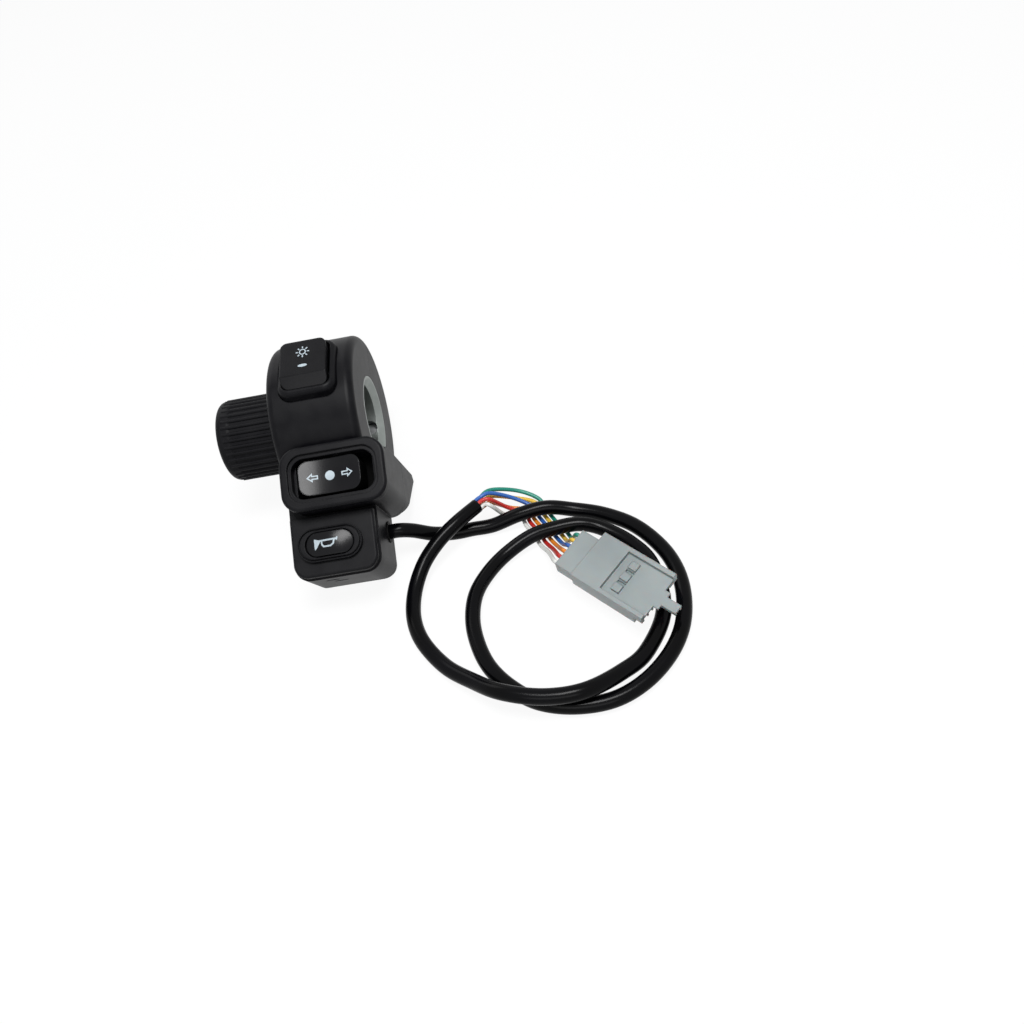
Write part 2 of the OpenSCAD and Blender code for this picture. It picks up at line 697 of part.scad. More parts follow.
module set_screw() color(steel) lie() translate([set_screw_x, 0, 0]) difference() {
  set_screw_l = 10;
  hex_r = set_screw_d / 4;
  backed_out = 3;
  tip = -bore_r - backed_out;
  rod_z(tip - set_screw_l, tip, set_screw_d / 2 - pin_fit);
  translate([0, 0, tip - set_screw_l - 1]) cylinder(h = 4, r = hex_r, $fn = 6);
}

module housing_screws() color(steel) lie() for (s = screw_spots) translate(s) difference() {
  union() {
    rod_z(-screw_head_t, 0, screw_head_r);
    rod_z(-screw_head_t / 2, screw_depth - 0.5 - s.z, screw_r);
  }
  for (a = [0, 90]) rotate(a) box(2.6, 0.7, -screw_head_t - 1, -screw_head_t + 1);
}

module ribbed_round() {
  circle(rib_root_r);
  for (i = [0:rib_count - 1]) rotate(360 * i / rib_count) translate([rib_root_r, 0]) circle(rib_r);
}

module twist_collar() color(black) lie() difference() {
  union() {
    drum_solid(collar_x0, collar_x0 + 3 * collar_edge, collar_r, collar_edge);
    translate([collar_x0 + 1.2 * collar_edge, 0, 0]) rotate([0, 90, 0])
      linear_extrude(collar_len - 1.2 * collar_edge) ribbed_round();
    rod_x(collar_x1 - 1, flange_x1, neck_r);
    rod_x(flange_x0, flange_x1, flange_r);
  }
  rod_x(collar_x0 - 1, flange_x1 + 1, collar_bore_r);
  for (a = [0, collar_throw / 2, collar_throw]) rotate([-a, 0, 0]) translate([0, 0, -flange_r - 0.4])
    rod_x(flange_x0 - 1, flange_x1 + 1, 0.8);
}

// Brass finger on the collar's flange and the brass arc that it slides along
module wiper_arc(r0, r1, x0, t, from, sweep)
  translate([x0, 0, 0]) rotate([0, 90, 0]) rotate([0, 0, 180 - from])
    rotate_extrude(angle = sweep) translate([r0, 0]) square([r1 - r0, t]);
module track_arc(depth)
  wiper_arc(neck_r + 0.8, flange_r - 0.3, drum_x0 + wall - depth, depth + 0.01, 50, 102);
module collar_wiper() color(brass) lie()
  wiper_arc(neck_r + 0.6, flange_r - 0.2, flange_x0 - wiper_t, wiper_t, 30, 16);
module collar_track() color(brass) lie()
  wiper_arc(neck_r + 0.9, flange_r - 0.4, drum_x0 + wall - track_t, track_t, 49, 100);

module detent_pin() color(steel) lie() translate([(flange_x0 + flange_x1) / 2, 0, 0])
  rod_z(-flange_r - 0.2 - detent_len, -flange_r - 0.2, detent_r);
module detent_spring() color(steel) lie() translate([(flange_x0 + flange_x1) / 2, 0, 0])
  coil(detent_r - 0.35, 0.35, -flange_r - run_gap - 2 * detent_len, -flange_r - 0.2 - detent_len, 5);

// The rockers are drawn level, then turned about their pivots to their rest position
module light_at_rest()
  translate([0, 0, light_pivot]) rotate([light_tilt, 0, 0]) translate([0, 0, -light_pivot]) children();
module light_rocker() color(gloss) lie() at_light() light_at_rest() difference() {
  crease_y = -0.3 * light_l;
  top = drum_r + light_rise;
  union() {
    intersection() {
      prism_z(light_skirt, top + 1) round_rect(light_w, light_l, 2.2);
      prism_x(-light_w, light_w) polygon([[-light_l, light_skirt], [light_l, light_skirt],
        [light_l, top - 0.8], [crease_y, top], [-light_l / 2, top - 2.6], [-light_l, top - 2.6]]);
    }
    rod_z(light_skirt - 1.3, light_skirt + 0.1, plunger_r + 1);
  }
  translate([0, 0, light_pivot]) rod_x(-light_w, light_w, pin_r + pin_fit);
  rod_z(light_skirt - 2, light_pivot - pin_r - 0.4, plunger_r + plunger_fit);
}
module light_pivot_pin() color(steel) lie() at_light() translate([0, 0, light_pivot])
  rod_x(-light_pin_half, light_pin_half, pin_r);
module light_plunger() color(brass) lie() at_light() light_at_rest() {
  translate([0, 0, light_tip + plunger_r]) sphere(plunger_r);
  rod_z(light_tip + plunger_r, light_tip + plunger_r + 0.9, plunger_r);
}
module light_spring() color(steel) lie() at_light() light_at_rest()
  coil(plunger_r - 0.4, 0.3, light_tip + plunger_r + 0.9, light_pivot - pin_r - 0.4, 3);

// A contact plate with a round notch that rocks on the ridge of its base; the ridge is at the origin
module seesaw(arm, w) difference() {
  translate([0, 0, rock_drop]) {
    box(w, 2 * arm, -seesaw_t / 2, seesaw_t / 2);
    for (y = [-1, 1]) translate([0, y * (arm - 0.8), 0]) rod_z(-seesaw_t / 2 - 0.1, seesaw_t / 2 + 0.1, 0.8);
  }
  rod_x(-w, w, rock_r);
}
module ridge(l, foot) {
  rod_x(-l / 2, l / 2, ridge_r);
  box(l, 1.4 * ridge_r, foot, 0);
}
module light_seesaw() color(brass) lie() at_light() translate([0, 0, light_rock_z])
  rotate([-light_tilt * seesaw_tilt, 0, 0]) seesaw(light_arm, 3);
module light_base() color(buff) lie() at_light() {
  translate([light_deep_x0 + seat_gap, -light_deep_l / 2 + seat_gap, light_base_z - light_base_t])
    cube([light_deep_x1 - light_deep_x0 - 2 * seat_gap, light_deep_l - 2 * seat_gap, light_base_t]);
  translate([0, 0, light_rock_z]) ridge(2, light_base_z - 0.1 - light_rock_z);
}
module light_contacts() color(brass) lie() at_light() for (y = [-1, 1])
  translate([0, y * (light_arm - 0.8), 0]) rod_z(light_base_z, light_contact_z - 0.1, 1);

module turn_rocker() color(gloss) lie() at_turn() difference() {
  dish_r = rocker_w * rocker_w / (8 * turn_dish);
  union() {
    translate([rocker_shift, 0, 0]) prism_z(turn_skirt, turn_top) round_rect(rocker_w, rocker_h, 3.2);
    box(chamber_w - 2 * shield_gap, chamber_h - 2 * run_gap, turn_skirt, turn_skirt + shield_t);
    rod_z(turn_skirt - 3, turn_skirt + 0.1, plunger_r + 1);
  }
  translate([rocker_shift, 0, turn_top - turn_dish + dish_r]) rod_y(-rocker_h, rocker_h, dish_r, $fn = 128);
  translate([0, 0, turn_pivot]) rod_y(-rocker_h, rocker_h, pin_r + pin_fit);
  rod_z(turn_skirt - 4, turn_pivot - pin_r - 0.5, plunger_r + plunger_fit);
}
module turn_pivot_pin() color(steel) lie() at_turn() translate([0, 0, turn_pivot])
  rod_y(-chamber_h / 2 - pin_grip, chamber_h / 2 + pin_grip, pin_r);
module turn_plunger() color(brass) lie() at_turn() {
  translate([0, 0, turn_tip + plunger_r]) sphere(plunger_r);
  rod_z(turn_tip + plunger_r, turn_tip + plunger_r + 2.6, plunger_r);
}
module turn_spring() color(steel) lie() at_turn()
  coil(plunger_r - 0.4, 0.35, turn_tip + plunger_r + 2.6, turn_pivot - pin_r - 0.5, 4);
module turn_seesaw() color(brass) lie() at_turn() translate([0, 0, turn_rock_z])
  rotate(90) seesaw(turn_arm, 3.6);
module turn_base() color(buff) lie() at_turn() {
  lap = ledge - seat_gap;
  box(chamber_w + 2 * lap, chamber_h + 2 * lap, turn_base_z - turn_base_t, turn_base_z);
  translate([0, 0, turn_rock_z]) rotate(90) ridge(3, turn_base_z - 0.1 - turn_rock_z);
}
module turn_contacts() color(brass) lie() at_turn() for (x = [-1, 1])
  translate([x * (turn_arm - 0.8), 0, 0]) rod_z(turn_base_z, turn_contact_z - 0.1, 1);

module horn_button() color(gloss) lie() at_horn() {
  intersection() {
    prism_z(horn_flange_z, horn_top) stadium(horn_w, horn_h);
    translate([0, 0, horn_top - horn_dome_r]) sphere(horn_dome_r, $fn = 96);
  }
  prism_z(horn_flange_z, horn_flange_z + horn_flange_t)
    stadium(horn_w + 2 * horn_flange, horn_h + 2 * horn_flange);
  rod_z(horn_stem_end, horn_flange_z + 0.1, stem_r);
}
module horn_bridge() color(brass) lie() at_horn() difference() {
  prism_z(bridge_z, bridge_z + bridge_t) stadium(horn_w + 1.6, horn_h + 1.6);
  rod_z(bridge_z - 1, bridge_z + bridge_t + 1, stem_r + seat_gap);
}
module horn_spring() color(steel) lie() at_horn() coil(horn_coil_r, horn_wire_d, horn_base_top, bridge_z, 5);
module horn_base() color(buff) lie() difference() {
  union() {
    translate([horn_room_x0 + seat_gap, horn_room_y0 + seat_gap, horn_base_z])
      cube([horn_room_x1 - horn_room_x0 - 2 * seat_gap, horn_room_y1 - horn_room_y0 - 2 * seat_gap,
        horn_base_t]);
    at_horn() rod_z(horn_base_z, guide_top, guide_r);
  }
  at_horn() rod_z(horn_base_z - 1, guide_top + 1, stem_r + stem_fit);
}
module horn_contacts() color(brass) lie() at_horn() for (x = [-1, 1])
  translate([x * horn_post_x, 0, 0]) rod_z(horn_base_top, horn_post_z, 1);

module cable_grommet() color(gloss) lie() translate([0, exit_y, exit_z]) difference() {
  union() {
    rod_x(horn_room_x1 - 1, low_right + 0.4, grommet_r);
    rod_x(horn_room_x1 - 1, horn_room_x1, lip_r);
  }
  rod_x(horn_room_x1 - 2, low_right + 2, cable_r + cable_fit);
}
module cable_clamp() color(steel) lie() difference() {
  clamp_toe = 2.6;
  union() {
    translate([0, exit_y, exit_z]) rod_x(clamp_x - clamp_w / 2, clamp_x + clamp_w / 2, cable_r + clamp_wall);
    translate([clamp_x - clamp_w / 2, clamp_screw_y - clamp_toe, 0])
      cube([clamp_w, exit_y - clamp_screw_y + clamp_toe, clamp_foot_t]);
  }
  translate([0, exit_y, exit_z]) rod_x(clamp_x - clamp_w, clamp_x + clamp_w, cable_r + cable_fit);
  translate([clamp_x, clamp_screw_y, 0]) rod_z(-1, clamp_foot_t + 1, clamp_screw_r + seat_gap);
  box(far * 2, far * 2, -far, 0);
}
module clamp_screw() color(steel) lie() translate([clamp_x, clamp_screw_y, 0]) difference() {
  union() {
    rod_z(clamp_foot_t, clamp_foot_t + 1.4, 2.2);
    rod_z(-wall + 0.5, clamp_foot_t + 0.1, clamp_screw_r);
  }
  for (a = [0, 90]) rotate(a) box(2.4, 0.6, clamp_foot_t + 0.7, clamp_foot_t + 2);
}

// Short leads inside, from the end of the cable to the horn base and to the turn base
module inner_leads() color("red") lie() {
  under_horn = horn_base_z - wire_d / 4;
  under_turn = turn_base_z - turn_base_t - wire_d / 4;
  to_horn = [[cable_in_x, exit_y, exit_z - 1], [0, exit_y - 0.4, exit_z - 0.6],
    [-3, exit_y - 2, exit_z + 1], [-4.5, exit_y - 3.5, under_horn - 1], [-5.5, exit_y - 5, under_horn]];
  to_turn = [[cable_in_x, exit_y, exit_z + 1], [0, exit_y + 0.2, exit_z + 0.8],
    [-2.5, exit_y + 1, exit_z + 0.2], [lead_x, exit_y + 3, exit_z], [lead_x, exit_y + 8, exit_z],
    [lead_x, exit_y + 11, under_turn]];
  for (route = [to_horn, to_turn]) tube(smooth(route, 2), wire_d, 8);
}

module cable_sheath() color(gloss) tube(smooth(cable_route, 2), cable_d, 10);

function wire_start(i) =
  let (t = unit(cable_heading), s = unit(cross(t, [0, 0, 1])), u = cross(s, t))
  cable_end + rest_gap / 2 * t + wire_ring_r * (wire_side[i] * s + wire_up[i] * sqrt(3) / 2 * u);
function wire_route(i) =
  let (entry = [-con_back_l, tunnel_y(i), con_h / 2])
  concat([wire_start(i), wire_start(i) + 2 * unit(cable_heading)],
    [for (k = [0:len(wire_spine) - 1]) wire_spine[k] + (i - (wire_count - 1) / 2) * wire_step[k]
      + [0, 0, wire_rest + wire_up[i] * wire_rise[k]]],
    [con_point(entry - [2, 0, 0]), con_point(entry)]);
module lead(i, paint) color(paint) tube(smooth(wire_route(i), 3), wire_d, 8);

module at_connector() translate(con_at) rotate(con_turn) children();
module connector_housing() color(nylon) at_connector() {
  con_floor = con_h - recess_d;
  difference() {
    union() {
      cube([con_l - con_setback, con_w, con_h]);
      translate([0, 0, con_lid]) cube([con_l, con_w, con_h - con_lid]);
      translate([-con_back_l, con_near - con_back_wall, (con_h - con_back_h) / 2])
        cube([con_back_l + 1, con_w - con_near - con_far + 2 * con_back_wall, con_back_h]);
      for (t = [[tongue_base_l, tongue_w], [tongue_l, tongue_w / 2]])
        translate([con_l - 1, (con_w - t.y) / 2, con_floor - tongue_t]) cube([t.x + 1, t.y, tongue_t]);
    }
    for (c = [0:wire_count - 1]) translate([con_l / 2, tunnel_y(c), con_h / 2])
      cube([2 * con_l, con_tunnel_y, con_tunnel_z], center = true);
    translate([recess_x, recess_rim, con_floor]) cube([con_l, con_w - 2 * recess_rim, con_h]);
    for (k = [-0.5, 0.5]) translate([recess_x + pad_x, con_w / 2 + k * pad_pitch, con_floor - pad_slot])
      box(pad_l, (pad_pitch - pad_w) / 2, 0, con_h);
  }
  for (k = [-1:1]) translate([recess_x + pad_x, con_w / 2 + k * pad_pitch, con_floor - 0.1])
    box(pad_l, pad_w, 0, pad_h + 0.1);
}
module connector_terminals() color(brass) at_connector() for (c = [0:wire_count - 1])
  translate([0, tunnel_y(c) - blade_w / 2, (con_h - con_tunnel_z) / 2]) cube([con_l - 4, blade_w, blade_t]);

echo(str("Least gap of the cable to itself: ", least_gap(smooth(cable_route, 6), cable_d, 18), " mm"));
echo(str("Lying angle: ", lie_angle, " degrees"));

front_housing();
rear_housing();
horn_panel();
horn_surround();
turn_bezel();
light_bezel();
bar_liner();
set_screw();
housing_screws();
twist_collar();
collar_wiper();
collar_track();
detent_pin();
detent_spring();
light_rocker();
light_pivot_pin();
light_plunger();
light_spring();
light_seesaw();
light_base();
light_contacts();
turn_rocker();
turn_pivot_pin();
turn_plunger();
turn_spring();
turn_seesaw();
turn_base();
turn_contacts();
horn_button();
horn_bridge();
horn_spring();
horn_base();
horn_contacts();
cable_grommet();
cable_clamp();
clamp_screw();
inner_leads();
cable_sheath();
lead(5, "teal");  // wire_green
lead(4, "gold");  // wire_yellow
lead(3, "royalblue");  // wire_blue
lead(2, "darkorange");  // wire_orange
lead(1, "firebrick");  // wire_red
lead(0, "whitesmoke");  // wire_white
connector_housing();
connector_terminals();
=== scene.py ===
"""Looks of the handlebar switch cluster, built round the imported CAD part, in metres and in its frame."""

import json
import math

import bpy
from mathutils import Matrix, Vector


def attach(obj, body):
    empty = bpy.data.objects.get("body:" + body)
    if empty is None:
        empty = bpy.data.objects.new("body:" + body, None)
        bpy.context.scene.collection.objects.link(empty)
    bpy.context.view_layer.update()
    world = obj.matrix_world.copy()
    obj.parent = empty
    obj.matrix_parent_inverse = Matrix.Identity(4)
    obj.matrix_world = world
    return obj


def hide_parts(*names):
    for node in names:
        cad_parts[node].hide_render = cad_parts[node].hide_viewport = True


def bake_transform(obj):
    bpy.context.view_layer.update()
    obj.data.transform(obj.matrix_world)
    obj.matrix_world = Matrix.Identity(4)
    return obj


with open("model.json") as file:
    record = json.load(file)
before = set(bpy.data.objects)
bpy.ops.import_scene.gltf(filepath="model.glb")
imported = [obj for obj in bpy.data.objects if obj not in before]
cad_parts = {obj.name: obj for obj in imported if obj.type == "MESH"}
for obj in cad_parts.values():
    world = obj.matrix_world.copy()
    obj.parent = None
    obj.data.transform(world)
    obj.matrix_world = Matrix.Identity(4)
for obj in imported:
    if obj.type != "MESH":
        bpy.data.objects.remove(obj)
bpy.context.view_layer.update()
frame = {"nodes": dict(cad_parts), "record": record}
nodes = frame["nodes"]

MM = 0.001
TABLE_Z = -27.5 * MM

# HOUSING takes millimetres on the upright part to metres on the lying part.
# FRONT is the way that the turn and horn switches face.
LIE_ANGLE = math.radians(28.6876)
HOUSING = Matrix.Rotation(LIE_ANGLE, 4, "X") @ Matrix.Scale(MM, 4)
FRONT = (HOUSING.to_3x3() @ Vector((0, 0, 1))).normalized()


# Camera, placed from the photo's perspective
CAMERA_PLACE = (0.0765, -0.22671, 0.20059)
CAMERA_RIGHT = (0.98377, -0.07656, -0.16228)
CAMERA_UP = (0.1638, 0.75233, 0.6381)
CAMERA_BACK = (0.07324, -0.65432, 0.75266)
SENSOR_WIDTH, FOCAL_LENGTH = 36, 31.64


def add_camera():
    data = bpy.data.cameras.new("camera")
    data.sensor_width = SENSOR_WIDTH
    data.lens = FOCAL_LENGTH
    data.clip_start, data.clip_end = 0.01, 20
    camera = bpy.data.objects.new("camera", data)
    bpy.context.scene.collection.objects.link(camera)
    axes = Matrix((CAMERA_RIGHT, CAMERA_UP, CAMERA_BACK)).transposed()
    camera.matrix_world = Matrix.Translation(CAMERA_PLACE) @ axes.to_quaternion().to_matrix().to_4x4()
    bpy.context.scene.camera = camera


add_camera()


# Cord and mesh tools
def smooth(points, steps=8):
    """Points along a Catmull-Rom curve through the given ones, with that many steps between each two."""
    p = [Vector(q) for q in points]
    out = []
    for i in range(len(p) - 1):
        a, b, c, d = p[max(i - 1, 0)], p[i], p[i + 1], p[min(i + 2, len(p) - 1)]
        for k in range(steps):
            t = k / steps
            out.append(0.5 * (2 * b + (c - a) * t + (2 * a - 5 * b + 4 * c - d) * t * t
                              + (3 * b - a - 3 * c + d) * t ** 3))
    return out + [p[-1]]


def across(along):
    """Two directions at right angles to a level or sloping one: sideways and up."""
    side = along.cross(Vector((0, 0, 1))).normalized()
    return side, side.cross(along)


def new_mesh(name, points, faces, material, rounded=True):
    mesh = bpy.data.meshes.new(name)
    mesh.from_pydata([tuple(p) for p in points], [], faces)
    mesh.validate()
    mesh.polygons.foreach_set("use_smooth", [rounded] * len(mesh.polygons))
    mesh.materials.append(material)
    obj = bpy.data.objects.new(name, mesh)
    bpy.context.scene.collection.objects.link(obj)
    return obj


def sweep(name, path, diameter, sides, material):
    """A round tube along path, with closed ends."""
    points, faces = [], []
    last = len(path) - 1
    for i, p in enumerate(path):
        side, up = across((path[min(i + 1, last)] - path[max(i - 1, 0)]).normalized())
        for k in range(sides):
            a = 2 * math.pi * k / sides
            points.append(p + diameter / 2 * (math.cos(a) * side + math.sin(a) * up))
    for i in range(last):
        for k in range(sides):
            a, b = i * sides + k, i * sides + (k + 1) % sides
            faces.append((a, b, b + sides, a + sides))
    faces.append(tuple(reversed(range(sides))))
    faces.append(tuple(range(last * sides, last * sides + sides)))
    return new_mesh(name, points, faces, material)


# Materials
BROADER = 14
BUMP_DEPTH = 0.1 * MM
RAMP = (0.3, 0.72)


def node_tree(name):
    material = bpy.data.materials.new(name)
    material.use_nodes = True
    tree = material.node_tree
    return material, tree, tree.nodes["Principled BSDF"]


def grained(name, dark, light, rough, grain, bump, edge=0.0, **sockets):
    """A finish whose colour and gloss vary with a broad noise, and its surface with a fine one.

    rough is the range of roughness, grain the fine noise's scale per metre, bump its strength, and edge
    the radius in mm to which sharp edges are softened. The rest are the shader's own sockets.
    """
    material, tree, shader = node_tree(name)
    add, link = tree.nodes.new, tree.links.new
    place = add("ShaderNodeTexCoord")
    fine, broad = add("ShaderNodeTexNoise"), add("ShaderNodeTexNoise")
    fine.inputs["Scale"].default_value = grain
    fine.inputs["Detail"].default_value = 6
    broad.inputs["Scale"].default_value = grain / BROADER
    broad.inputs["Detail"].default_value = 3
    colours = add("ShaderNodeValToRGB")
    for stop, position, colour in zip(colours.color_ramp.elements, RAMP, (dark, light)):
        stop.position = position
        stop.color = (*colour, 1)
    gloss = add("ShaderNodeMapRange")
    gloss.inputs["To Min"].default_value, gloss.inputs["To Max"].default_value = rough
    height = add("ShaderNodeBump")
    height.inputs["Strength"].default_value = bump
    height.inputs["Distance"].default_value = BUMP_DEPTH
    for noise in (fine, broad):
        link(place.outputs["Object"], noise.inputs["Vector"])
    link(broad.outputs["Fac"], colours.inputs["Fac"])
    link(colours.outputs["Color"], shader.inputs["Base Color"])
    link(broad.outputs["Fac"], gloss.inputs["Value"])
    link(gloss.outputs["Result"], shader.inputs["Roughness"])
    link(fine.outputs["Fac"], height.inputs["Height"])
    link(height.outputs["Normal"], shader.inputs["Normal"])
    if edge:
        soft = add("ShaderNodeBevel")
        soft.samples = 6
        soft.inputs["Radius"].default_value = edge * MM
        link(soft.outputs["Normal"], height.inputs["Normal"])
    for socket, value in sockets.items():
        shader.inputs[socket.replace("_", " ")].default_value = value
    return material


# Each finish: dark and light colour, range of roughness, grain, bump and edge, then sockets
SATIN = {"Specular_IOR_Level": 0.085}
METAL = {"Metallic": 1}
MILKY = {"Subsurface_Weight": 0.3, "Subsurface_Scale": 0.003, "Transmission_Weight": 0.06}
LOOKS = {
    "shell_plastic": ((0.002, 0.002, 0.003), (0.006, 0.006, 0.007), (0.36, 0.46), 2600, 0.16, 0.5, SATIN),
    "panel_plastic": ((0.003, 0.003, 0.004), (0.007, 0.007, 0.008), (0.36, 0.46), 2600, 0.14, 0.4, SATIN),
    "cap_plastic": ((0.003, 0.003, 0.004), (0.006, 0.006, 0.007), (0.17, 0.24), 1800, 0.015, 0.5,
                    {"Specular_IOR_Level": 0.13}),
    "collar_plastic": ((0.002, 0.002, 0.003), (0.005, 0.005, 0.006), (0.42, 0.52), 2600, 0.16, 0.3, SATIN),
    "moulded_inside": ((0.001, 0.001, 0.001), (0.003, 0.003, 0.003), (0.75, 0.9), 2600, 0.1, 0,
                       {"Specular_IOR_Level": 0.03}),
    "liner_metal": ((0.22, 0.24, 0.23), (0.34, 0.365, 0.35), (0.4, 0.54), 1500, 0.12, 0.3, METAL),
    "steel": ((0.4, 0.41, 0.42), (0.56, 0.57, 0.58), (0.28, 0.4), 1500, 0.1, 0.2, METAL),
    "contact_brass": ((0.55, 0.4, 0.14), (0.72, 0.55, 0.24), (0.25, 0.35), 1500, 0.08, 0.1, METAL),
    "base_plastic": ((0.3, 0.25, 0.18), (0.4, 0.35, 0.26), (0.5, 0.65), 2000, 0.15, 0.2, {}),
    "cable_pvc": ((0.001, 0.001, 0.001), (0.002, 0.002, 0.003), (0.17, 0.25), 900, 0.05, 0,
                  {"Specular_IOR_Level": 0.08}),
    "grommet_rubber": ((0.004, 0.004, 0.004), (0.008, 0.008, 0.008), (0.55, 0.7), 1500, 0.15, 0.3, SATIN),
    "nylon": ((0.2, 0.232, 0.236), (0.27, 0.3, 0.3), (0.36, 0.46), 700, 0.015, 0.6, MILKY),
}
# The leads, in their order across the connector
VINYLS = {
    "white": ((0.6, 0.6, 0.57), (0.75, 0.75, 0.72)),
    "red": ((0.4, 0.015, 0.01), (0.58, 0.03, 0.025)),
    "orange": ((0.6, 0.17, 0.01), (0.8, 0.26, 0.03)),
    "blue": ((0.01, 0.07, 0.3), (0.03, 0.13, 0.45)),
    "yellow": ((0.6, 0.36, 0.03), (0.78, 0.5, 0.06)),
    "green": ((0.0, 0.16, 0.11), (0.01, 0.24, 0.17)),
}
for colour, shades in VINYLS.items():
    LOOKS[f"{colour}_vinyl"] = (*shades, (0.3, 0.42), 1200, 0.05, 0, {})
FINISHES = {name: grained(name, *look, **sockets) for name, (*look, sockets) in LOOKS.items()}
INK = grained("icon_ink", (0.32, 0.38, 0.42), (0.42, 0.49, 0.53), (0.45, 0.6), 4000, 0.05)

for sub in frame["record"]["subparts"]:
    mesh = nodes[sub["node"]].data
    mesh.materials.clear()
    mesh.materials.append(FINISHES[sub["material_slot"]])

# Cable: where it runs inside the housing, then spots on the table as x, y and height above rest, in mm
CABLE_D = 4.8 * MM
CABLE_SIDES = 20
CABLE_REST = TABLE_Z + CABLE_D / 2 + 0.17 * MM
EXIT_X = 15
EXIT_Y, EXIT_Z = -41.2, 4.2
INSIDE_X = (3, 11, EXIT_X, 18.5)
CABLE_SPOTS = [
    (22.5, -37.6, 7), (28.5, -36.8, 2.8), (35, -35.8, 0.4), (41, -35.2, 0), (48, -35, 0), (57, -34, 2),
    (66, -33.2, 2.4), (75, -34.4, 0.5), (84.5, -38.2, 0.1), (93.4, -45, 0.1), (100, -55, 0.1),
    (103, -65, 0.1), (103, -75, 0.1), (100.4, -85, 0.1), (95, -93.6, 0.1), (87, -100.7, 0.1),
    (77.5, -104.8, 0.1), (66.5, -105, 0.1), (56.5, -102, 0.1), (49, -96, 0.1), (43.5, -88.6, 0.1),
    (40.4, -80, 0.1), (39.3, -71, 0.1), (40.7, -62, 0.1), (45, -54.5, 0.1), (51.4, -48, 0.2),
    (60, -43.6, 1.6), (68, -42.6, 2.5), (76, -42.6, 2.6), (83, -44.8, 1.2), (91, -51.6, 0.1),
    (96, -61.5, 0.1), (96.4, -78, 0.1), (89.2, -91, 0.2), (81, -97.8, 2.2), (70, -103.8, 5.6),
    (58.5, -104, 6), (47, -100.3, 5.6), (38.5, -93.4, 2.2), (30.4, -86, 0.2), (23.8, -76.5, 0.1),
    (21, -67.5, 0.1), (21.3, -57.8, 0.4), (24.6, -49, 2.4), (30, -42.8, 5), (36.5, -37.4, 6.6),
    (44, -31, 6.4),
]
cable_route = [HOUSING @ Vector((x, EXIT_Y, EXIT_Z)) for x in INSIDE_X]
cable_route += [Vector((x * MM, y * MM, CABLE_REST + lift * MM)) for x, y, lift in CABLE_SPOTS]

# Leads: the middle of the bunch, the step from one lead to the next there, and how far upper leads rise
WIRE_D = 1.4 * MM
WIRE_SIDES = 12
WIRE_GAP = 0.05 * MM
WIRE_REST = TABLE_Z + WIRE_D / 2 + 0.1 * MM
WIRE_SPINE = [
    (48.5, -28, 7.5), (54.5, -27, 2.5), (60.5, -29.5, 1), (62.5, -34, 0.4), (65, -39, 0.4), (67, -43.5, 0.4),
    (69, -48.5, 2.5),
]
WIRE_STEP = [
    (0, 1.4, 0), (1, 1.5, 0.5), (1.3, 1.2, 0.3), (1.5, 1, 0), (1.6, 0.6, 0), (1.8, 0.7, 0), (1.6, 1.1, -0.4),
]
WIRE_RISE = (1.6, 1.4, 0, 0, 0, 0, 0)
WIRE_STRAIGHT = 2
WIRE_MIDDLE = (len(VINYLS) - 1) / 2

# The leads leave the cable's cut end on a ring: each one's share sideways and up
WIRE_RING = CABLE_D / 2 - WIRE_D / 2 - WIRE_GAP
WIRE_SIDE = (1, 0.5, 0.5, -0.5, -0.5, -1)
WIRE_UP = (0, 1, -1, 1, -1, 0)
UP_SHARE = math.sqrt(0.75)

# Connector: its back end, first side wall, lead pitch and middle height in mm, and where it lies
CON_BACK, CON_NEAR, CON_PITCH, CON_MID = 6.4, 0.9, 2.2, 3
CON_PLACE = (71.2 * MM, -65.8 * MM, TABLE_Z + 5.7 * MM)
CON_TURNS = ((-46, "Z"), (2.5, "Y"), (7.5, "X"))
CONNECTOR = Matrix.Translation(CON_PLACE)
for turn, axis in CON_TURNS:
    CONNECTOR = CONNECTOR @ Matrix.Rotation(math.radians(turn), 4, axis)
CONNECTOR = CONNECTOR @ Matrix.Scale(MM, 4)


def wire_route(i):
    """Points of one lead, from the cable's cut end to the back of the connector."""
    end = cable_route[-1]
    along = (end - cable_route[-2]).normalized()
    side, up = across(along)
    start = end + WIRE_GAP * along + WIRE_RING * (WIRE_SIDE[i] * side + WIRE_UP[i] * UP_SHARE * up)
    route = [start, start + WIRE_STRAIGHT * MM * along]
    for spot, step, rise in zip(WIRE_SPINE, WIRE_STEP, WIRE_RISE):
        lift = Vector((0, 0, WIRE_UP[i] * rise))
        place = Vector(spot) + (i - WIRE_MIDDLE) * Vector(step) + lift
        route.append(Vector((0, 0, WIRE_REST)) + MM * place)
    entry = Vector((-CON_BACK, CON_NEAR + (i + 0.5) * CON_PITCH, CON_MID))
    return route + [CONNECTOR @ (entry - Vector((WIRE_STRAIGHT, 0, 0))), CONNECTOR @ entry]


cable_path = smooth(cable_route)
cable = sweep("cable", cable_path, CABLE_D, CABLE_SIDES, FINISHES["cable_pvc"])
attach(cable, "housing")
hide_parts("cable_sheath")
for i, colour in enumerate(VINYLS):
    path = smooth(wire_route(i))
    lead = sweep(f"lead_{colour}", path, WIRE_D, WIRE_SIDES, FINISHES[f"{colour}_vinyl"])
    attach(lead, "housing")
    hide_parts(f"wire_{colour}")


